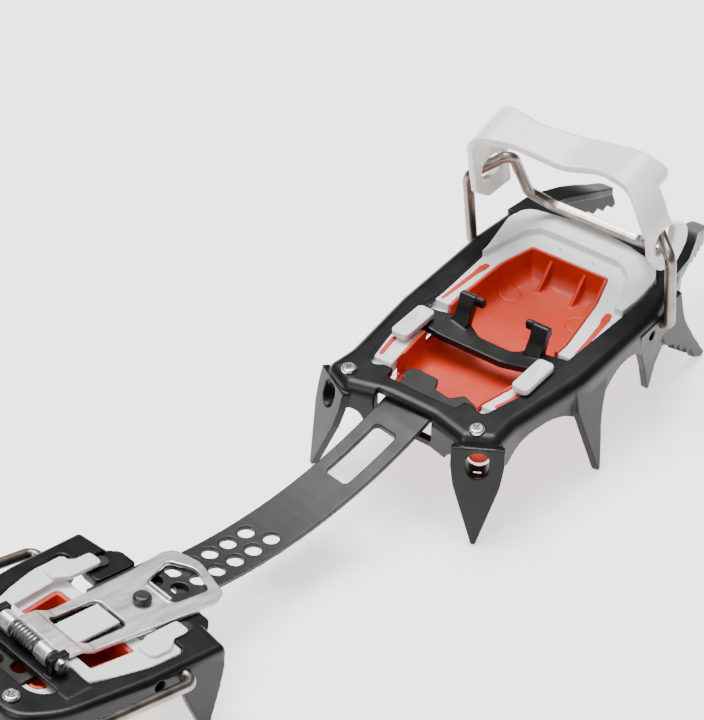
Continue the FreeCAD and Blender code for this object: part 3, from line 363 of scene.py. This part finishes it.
PLATE = make_material("satin_plate", (0.66, 0.635, 0.60), (0.80, 0.785, 0.75), (0.30, 0.42),
                      metal=0.9, scale=40, stretch=(1, 4, 1), grain=2400, grain_height=0.03)
SPRING = make_material("spring_wire", (0.24, 0.235, 0.23), (0.36, 0.35, 0.34), (0.3, 0.4),
                       metal=1.0, scale=300)
ANODISED = make_material("dark_anodised", (0.05, 0.05, 0.053), (0.08, 0.08, 0.084),
                         (0.34, 0.42), metal=0.6, grain=2600, grain_height=0.03,
                         edge=(0.2, 0.2, 0.2), edge_range=(0.54, 0.7))
GRIP = make_material("orange_grip", (0.50, 0.040, 0.006), (0.60, 0.052, 0.008), (0.55, 0.68),
                     grain=1600, grain_height=0.08)

MATERIALS = {
    "black_steel": BLACK, "bar_steel": BAR, "white_plastic": WHITE, "orange_rubber": ORANGE,
    "zinc_steel": ZINC, "insert_steel": INSERT, "stainless_wire": WIRE, "milky_plastic": MILKY,
    "black_plastic": BLACK_PLASTIC, "dark_rivet": RIVET, "stainless_plate": PLATE,
    "spring_steel": SPRING, "lever_aluminium": ANODISED, "orange_grip": GRIP,
}
SLOT_OF = {item["node"]: item["material_slot"] for item in frame["record"]["subparts"]}
BODY_OF = {node: body for body, nodes in frame["record"]["behaviour"]["bodies"].items()
           for node in nodes}
for node, obj in frame["nodes"].items():
    obj.data.materials.clear()
    obj.data.materials.append(MATERIALS[SLOT_OF[node]])


def skin(node, name, voxel, rounds, extras=(), sculpt=None, start=None):
    """A moulded skin that stands for a CAD node."""
    base = node_mesh(node) if start is None else start
    mesh = moulded([base] + list(extras), voxel, rounds, sculpt)
    return new_object(name, mesh, BODY_OF[node], SLOT_OF[node], MATERIALS[SLOT_OF[node]], node)


# ------------------------------------------------------------ sculpting by position
def bell(distance, radius):
    t = np.clip(1 - distance / radius, 0, 1)
    return t * t * (3 - 2 * t)


def engraved_ring(local, centre, radius, width, depth, z_low, z_high):
    """Depth to lower a surface along a circular groove."""
    distance = np.hypot(local[:, 0] - centre[0], local[:, 1] - centre[1])
    groove = bell(np.abs(distance - radius), width)
    level = (local[:, 2] > z_low) & (local[:, 2] < z_high)
    return -depth * groove * level


FINE = 0.34


# ------------------------------------------------------------ front section
def front_frame_piece():
    return skin("front_frame", "front_frame_skin", FINE, 2)


OPENING = [
    (9, 18, 2), (30, 20.5, 20), (60, 22.5, 30), (88, 21.5, 20), (104.6, 17.4, 1.5),
    (104.6, -17.4, 1.5), (88, -22.5, 20), (60, -27, 30), (30, -25, 20), (9, -20, 2),
]
WALL = 1.4
TRAY_FLOOR = -12.6
TRAY_FILLET = 5.5


def tray_mesh():
    """Soft tray: thin rim, walls that sweep into a dished floor, and a bulge below."""
    outline = rounded_outline(OPENING, 1.0)
    inner = inward(outline)
    axis_x = np.clip(outline[:, 0], 30, 86)
    middle = np.column_stack([axis_x, np.full(len(outline), -2.0) - (axis_x - 60) * -0.01])
    rings = []

    def ring(offset, height, share=0.0):
        plan = outline + inner * offset
        plan = plan * (1 - share) + middle * share
        rings.append(np.column_stack([plan, np.full(len(plan), height)]))

    under = TRAY_FLOOR - 1.5
    for share in (1.0, 0.75, 0.5, 0.25):
        ring(10.0, under - 3.2, share)
    ring(8.5, under - 3.0)
    ring(6.8, under - 1.2)
    ring(4.8, under)
    ring(1.6, under + 1.0)
    ring(0.35, under + 3.0)
    ring(0.3, -6.0)
    ring(0.3, -2.2)
    ring(0.3, -1.3)
    ring(0.45, -0.85)
    ring(0.95, -0.7)
    ring(1.45, -0.85)
    ring(WALL + 0.25, -1.3)
    ring(WALL + 0.3, -4.0)
    ring(WALL + 0.3, TRAY_FLOOR + TRAY_FILLET)
    for k in range(1, 8):
        angle = math.pi / 2 * k / 7
        ring(WALL + 0.3 + TRAY_FILLET * (1 - math.cos(angle)),
             TRAY_FLOOR + TRAY_FILLET * (1 - math.sin(angle)))
    for share in (0.25, 0.5, 0.75, 1.0):
        ring(WALL + 0.3 + TRAY_FILLET, TRAY_FLOOR - 0.5 * share, share)
    count = len(outline)
    verts = front_to_row(np.vstack(rings))
    faces = []
    for k in range(len(rings) - 1):
        for i in range(count):
            j = (i + 1) % count
            faces.append((k * count + i, k * count + j, (k + 1) * count + j, (k + 1) * count + i))
    mesh = mesh_from("tray", verts, faces)
    work = bmesh.new()
    work.from_mesh(mesh)
    bmesh.ops.remove_doubles(work, verts=work.verts, dist=1e-5)
    bmesh.ops.recalc_face_normals(work, faces=work.faces)
    work.to_mesh(mesh)
    work.free()
    return mesh


def wedge_mesh(place, x_wall, x_foot, y, width, z_top, z_foot):
    """Triangular rib leaning against a wall."""
    corners = []
    for side in (-width, width):
        corners += [(x_wall, y + side, z_top), (x_wall, y + side, z_foot),
                    (x_foot, y + side, z_foot)]
    faces = [(0, 1, 2), (5, 4, 3), (0, 3, 4, 1), (1, 4, 5, 2), (2, 5, 3, 0)]
    return mesh_from("wedge", place(corners), faces)


CORNER_HOLES = [     # middle of each rear corner point's oval hole and its inward axis, row metres
    ((0.04327, 0.02078, 0.03083), (0.9278, -0.3594, 0.1)),
    ((0.05334, -0.04205, 0.03085), (0.7713, 0.6285, 0.1)),
]
LUG_R = 3.7
LUG_RISE = 1.3


def corner_lug(middle, axis):
    """Rounded orange lug that shows through a rear corner point's oval hole."""
    runs = np.linspace(2.1, 13.0, 12)[:, None] * MM
    line = np.array(middle) + runs * np.array(axis) + np.array((0, 0, LUG_RISE * MM))
    angles = np.linspace(0, 2 * math.pi, 40, endpoint=False)
    circle = np.column_stack([np.cos(angles), np.sin(angles)]) * LUG_R
    return swept(front_to_row, row_to_front(line), lambda point: circle)


BRACE_NOTCH = ((36.0, -60, -6.6), (54.4, 60, 8))       # room for the frame's brace
GATE_NOTCH = ((-5, -20.2, -9.5), (20.6, 18.4, 8))      # room for the bar's head
TRAY_DISCS = ((86.8, 15.6), (85.6, -16.6))
RIB_SIDE = 7.5


def tray_piece():
    """Orange tray with two ribs at its front wall, corner lugs and two round mould marks."""
    cuts = [box_mesh(front_to_row, *notch) for notch in (BRACE_NOTCH, GATE_NOTCH)]
    tray = subtracted(moulded([tray_mesh()], FINE, 0), cuts)
    ribs = [wedge_mesh(front_to_row, 103.4, 93.5, y, 0.75, -2.4, TRAY_FLOOR)
            for y in (-RIB_SIDE, RIB_SIDE)]
    lugs = [corner_lug(*spot) for spot in CORNER_HOLES]

    def sculpt(co, normal):
        local = row_to_front(co)
        up = normal[:, 2] > 0.5
        for centre in TRAY_DISCS:
            local[:, 2] += up * engraved_ring(local, centre, 4.6, 0.7, 0.4, -14, -8)
        return front_to_row(local)

    return skin("front_antiball_membrane", "front_tray", FINE, 2, ribs + lugs, sculpt, tray)


BLOCK_DISCS = ((114.6, 20.5), (115.2, -19.2))
TAB_MIDDLES = (24.3, -28.7)
TAB_DENT = 1.5


def front_plate_piece():
    """White plate: raised block, small ribs by the tray, tabs with thumb dents."""
    extras = []
    for y in (-RIB_SIDE, RIB_SIDE):
        extras.append(wedge_mesh(front_to_row, 109.0, 104.9, y, 0.6, 0.6, -3.4))

    def sculpt(co, normal):
        local = row_to_front(co)
        up = normal[:, 2] > 0.4
        for centre in BLOCK_DISCS:
            local[:, 2] += up * engraved_ring(local, centre, 3.3, 0.8, 0.5, 0.6, 4.0)
        for y in TAB_MIDDLES:
            along = np.abs(local[:, 0] - 37.0) / 6.0
            across = np.abs(local[:, 1] - y) / 3.0
            dent = bell(np.hypot(along, across), 1.0)
            local[:, 2] -= up * (local[:, 2] > 1.0) * dent * TAB_DENT
        return front_to_row(local)

    return skin("front_antiball_frame", "front_plate", FINE, 3, extras, sculpt)


def strip_piece(name, place, spine, z_low, z_high, body):
    """Rounded strip along (x, y, half width) points of a section's own frame."""
    left = []
    right = []
    for i, (x, y, half) in enumerate(spine):
        x0, y0, _ = spine[max(i - 1, 0)]
        x1, y1, _ = spine[min(i + 1, len(spine) - 1)]
        length = math.hypot(x1 - x0, y1 - y0)
        nx, ny = -(y1 - y0) / length, (x1 - x0) / length
        left.append((x + nx * half, y + ny * half, 1.0))
        right.append((x - nx * half, y - ny * half, 1.0))
    outline = rounded_outline(left + right[::-1], 0.5)
    mesh = prism_mesh(place, [tuple(p) for p in outline], z_low, z_high)
    mesh = moulded([mesh], 0.2, 2)
    return new_object(name, mesh, body, "orange_rubber", ORANGE)


def front_slots():
    """Soft orange filling that shows in the side rails of the white plate."""
    spines = {
        "slot_left": [(56, 26.4, 0.7), (66, 25.9, 1.0), (77, 25.3, 1.1), (81, 24.9, 1.7),
                      (84.5, 24.4, 1.2)],
        "slot_right": [(57, -32.4, 0.7), (68, -31.7, 1.0), (78, -30.8, 1.2), (82, -30.0, 1.8),
                       (86, -29.2, 1.2)],
        "slot_rear_left": [(15, 25.0, 1.0), (21, 26.0, 1.0), (27, 26.8, 1.0)],
        "slot_rear_right": [(15, -25.6, 1.0), (21, -27.6, 1.0), (29, -29.0, 1.2)],
    }
    for name, spine in spines.items():
        strip_piece("front_" + name, front_to_row, spine, -2.0, -1.02, "front_section")


# ------------------------------------------------------------ toe bail
BAIL_POINTS = [
    (100.3, 34.8, -7.2), (100.3, 42.8, -7.2), (95.5, 42.8, 26.5), (107.0, 30.6, 35.5),
    (116.5, 28.2, 13.5), (123.6, 20.0, 5.9), (123.6, -20.0, 5.9), (116.5, -28.2, 13.5),
    (107.0, -30.6, 35.5), (95.5, -47.2, 26.5), (100.3, -47.2, -7.2), (100.3, -39.2, -7.2),
]
BAIL_RADII = [2.6, 4.6, 4.6, 9.0, 6.0, 6.0, 9.0, 4.6, 4.6, 2.6]


def path_points(points, radii, step):
    """Points along straight runs joined by tangent arcs."""
    points = [np.array(p, float) for p in points]
    out = [points[0]]

    def run_to(target):
        start = out[-1]
        gap = np.linalg.norm(target - start)
        count = max(1, int(gap / step))
        for k in range(1, count + 1):
            out.append(start + (target - start) * k / count)

    for i in range(1, len(points) - 1):
        back = points[i - 1] - points[i]
        ahead = points[i + 1] - points[i]
        back /= np.linalg.norm(back)
        ahead /= np.linalg.norm(ahead)
        half = math.acos(float(back @ ahead)) / 2
        radius = radii[i - 1]
        start = points[i] + back * radius / math.tan(half)
        end = points[i] + ahead * radius / math.tan(half)
        middle = (back + ahead) / np.linalg.norm(back + ahead)
        centre = points[i] + middle * radius / math.sin(half)
        run_to(start)
        sweep = math.pi - 2 * half
        a = start - centre
        b = end - centre
        count = max(3, int(radius * sweep / (step * 0.5)))
        for k in range(1, count + 1):
            t = k / count
            out.append(centre + (math.sin((1 - t) * sweep) * a + math.sin(t * sweep) * b)
                       / math.sin(sweep))
    run_to(points[-1])
    return np.array(out)


def swept(place, path, section):
    """Skin round a path; section(point) gives (across, up) offsets in the local frame."""
    tangent = np.gradient(path, axis=0)
    tangent /= np.linalg.norm(tangent, axis=1)[:, None]
    up = np.cross(tangent[0], [1.0, 0.0, 0.0])
    up /= np.linalg.norm(up)
    rings = []
    for point, heading in zip(path, tangent):
        up = up - heading * (up @ heading)
        up /= np.linalg.norm(up)
        across = np.cross(heading, up)
        offsets = section(point)
        rings.append(point + offsets[:, :1] * across + offsets[:, 1:] * up)
    count = len(rings[0])
    verts = place(np.vstack(rings))
    faces = []
    for k in range(len(rings) - 1):
        for i in range(count):
            j = (i + 1) % count
            faces.append((k * count + i, k * count + j, (k + 1) * count + j, (k + 1) * count + i))
    faces.append(tuple(range(count))[::-1])
    faces.append(tuple((len(rings) - 1) * count + i for i in range(count)))
    return outward(mesh_from("swept", verts, faces))


def smooth_step(value, low, high):
    t = min(1.0, max(0.0, (value - low) / (high - low)))
    return t * t * (3 - 2 * t)


def toe_bail_piece():
    path = path_points(BAIL_POINTS, BAIL_RADII, 0.8)
    angles = np.linspace(0, 2 * math.pi, 72, endpoint=False)

    def section(point):
        flat = 1 - smooth_step(abs(point[1]), 19.5, 24.5)
        ridge = 0.13 * (1 - smooth_step(abs(point[1]), 21.6, 22.6))
        power = 1 + flat * 0.9
        c = np.cos(angles)
        s = np.sin(angles)
        wide = 2.2 + 0.2 * flat
        tall = 2.2 - 0.4 * flat
        x = np.sign(c) * np.abs(c) ** (1 / power) * wide
        y = np.sign(s) * np.abs(s) ** (1 / power) * tall
        ridges = 1 + ridge * np.cos(angles * 24) / 2.2
        return np.column_stack([x * ridges, y * ridges])

    mesh = smooth_shaded(swept(front_to_row, path, section))
    return new_object("toe_bail_wire", mesh, "toe_bail_body", "stainless_wire", WIRE_KNURLED,
                      "toe_bail")


def knurled_wire():
    """Brown drawn wire that turns to pale bare steel along the pressed toe bar."""
    material, tree, shader, coordinates = node_material("bail_wire")
    mottle = noise(tree, coordinates, 70, 4.0)
    colour = ramp(tree, mottle, [(0.3, (0.17, 0.14, 0.12)), (0.7, (0.33, 0.285, 0.25))])
    pale = ramp(tree, noise(tree, coordinates, 260, 3.0), [
        (0.3, (0.50, 0.455, 0.39)), (0.7, (0.70, 0.65, 0.57))])
    separate = tree.nodes.new("ShaderNodeSeparateXYZ")
    place = tree.nodes.new("ShaderNodeMapping")
    place.inputs["Location"].default_value = tuple(
        -v for v in front_to_row([(0.0, 0.0, 0.0)])[0])
    turn = tree.nodes.new("ShaderNodeMapping")
    turn.inputs["Rotation"].default_value = (0, 0, -TOE)
    tree.links.new(coordinates.outputs["Object"], place.inputs["Vector"])
    tree.links.new(place.outputs["Vector"], turn.inputs["Vector"])
    tree.links.new(turn.outputs["Vector"], separate.inputs["Vector"])
    side = tree.nodes.new("ShaderNodeMath")
    side.operation = "ABSOLUTE"
    tree.links.new(separate.outputs["Y"], side.inputs[0])
    on_bar = remap(tree, side.outputs[0], 1.0, 0.0, 0.0214, 0.0226)
    low = remap(tree, separate.outputs["Z"], 1.0, 0.0, 0.0095, 0.0105)
    both = tree.nodes.new("ShaderNodeMath")
    both.operation = "MULTIPLY"
    tree.links.new(on_bar, both.inputs[0])
    tree.links.new(low, both.inputs[1])
    tree.links.new(mixed(tree, both.outputs[0], colour, pale), shader.inputs["Base Color"])
    shader.inputs["Metallic"].default_value = 0.95
    uneven = noise(tree, coordinates, 200, 2.0)
    tree.links.new(remap(tree, uneven, 0.27, 0.38), shader.inputs["Roughness"])
    bumped(tree, shader, noise(tree, coordinates, 1500, 2.0), 0.3, 0.03 * MM)
    return material


WIRE_KNURLED = knurled_wire()


# ------------------------------------------------------------ build the pieces
front_frame_piece()
tray_piece()
front_plate_piece()
front_slots()
toe_bail_piece()
skin("toe_cradle", "toe_cradle_skin", 0.42, 14)
skin("linking_bar", "linking_bar_skin", 0.32, 1)
skin("heel_frame", "heel_frame_skin", FINE, 2)
skin("bar_guide", "bar_guide_skin", FINE, 2)
skin("lock_plate", "lock_plate_skin", 0.26, 1)
skin("lock_peg", "lock_peg_skin", 0.2, 1)
skin("heel_antiball_frame", "heel_plate", FINE, 4)
skin("heel_antiball_membrane", "heel_tray", FINE, 3)
skin("heel_lever", "heel_lever_skin", 0.4, 3)
skin("lever_pad", "lever_pad_skin", 0.4, 3)
skin("lever_hook", "lever_hook_skin", 0.3, 2)
smooth_shaded(frame["nodes"]["heel_bail"].data)

# ------------------------------------------------------------ floor, light, camera
FLOOR_GLOW = 1.3       # lifts the floor to the near-white of a product picture
floor_mesh = mesh_from("floor", [(-3, -3, 0), (3, -3, 0), (3, 3, 0), (-3, 3, 0)], [(0, 1, 2, 3)])
floor = bpy.data.objects.new("floor", floor_mesh)
bpy.context.scene.collection.objects.link(floor)
FLOOR = make_material("pale_floor", (0.88, 0.88, 0.88), (0.90, 0.90, 0.90), (0.7, 0.8), scale=2,
                      grain=20, grain_height=0.0)
floor_shader = FLOOR.node_tree.nodes["Principled BSDF"]
floor_shader.inputs["Emission Color"].default_value = (1, 1, 1, 1)
floor_shader.inputs["Emission Strength"].default_value = FLOOR_GLOW
floor.data.materials.append(FLOOR)

world = bpy.data.worlds.new("studio")
bpy.context.scene.world = world
world.use_nodes = True
sky = world.node_tree
sky_place = sky.nodes.new("ShaderNodeTexCoord")
sky_split = sky.nodes.new("ShaderNodeSeparateXYZ")
sky.links.new(sky_place.outputs["Generated"], sky_split.inputs["Vector"])
sky_ramp = sky.nodes.new("ShaderNodeValToRGB")
sky_ramp.color_ramp.elements[0].position = 0.0
sky_ramp.color_ramp.elements[0].color = (0.03, 0.03, 0.03, 1)
sky_ramp.color_ramp.elements[1].position = 0.95
sky_ramp.color_ramp.elements[1].color = (1, 1, 1, 1)
middle_sky = sky_ramp.color_ramp.elements.new(0.68)
middle_sky.color = (0.06, 0.06, 0.06, 1)
sky.links.new(sky_split.outputs["Z"], sky_ramp.inputs["Fac"])
sky.links.new(sky_ramp.outputs["Color"], sky.nodes["Background"].inputs["Color"])
sky.nodes["Background"].inputs["Strength"].default_value = 1.0


def softbox(name, place, target, size, power):
    light = bpy.data.lights.new(name, "AREA")
    light.shape = "RECTANGLE"
    light.size = size[0]
    light.size_y = size[1]
    light.energy = power
    obj = bpy.data.objects.new(name, light)
    bpy.context.scene.collection.objects.link(obj)
    obj.location = place
    obj.rotation_euler = (Vector(target) - Vector(place)).to_track_quat("-Z", "Y").to_euler()
    return obj


softbox("key", (0.25, 0.45, 1.5), (0, 0, 0), (1.1, 0.8), 48)
softbox("fill", (-1.0, -0.1, 0.9), (0, 0, 0), (0.7, 0.7), 8)

CAMERA_PLACE = (-0.39875, -0.44474, 0.56674)
CAMERA_BACK = Vector((-0.5409, -0.5578, 0.6294))
CAMERA_LENS = 114.766
camera_data = bpy.data.cameras.new("camera")
camera = bpy.data.objects.new("camera", camera_data)
bpy.context.scene.collection.objects.link(camera)
camera_data.sensor_width = 36.0
camera_data.sensor_fit = "AUTO"
camera_data.lens = CAMERA_LENS
camera_data.clip_start = 0.01
camera.location = CAMERA_PLACE
camera.rotation_euler = CAMERA_BACK.to_track_quat("Z", "Y").to_euler()
bpy.context.scene.camera = camera
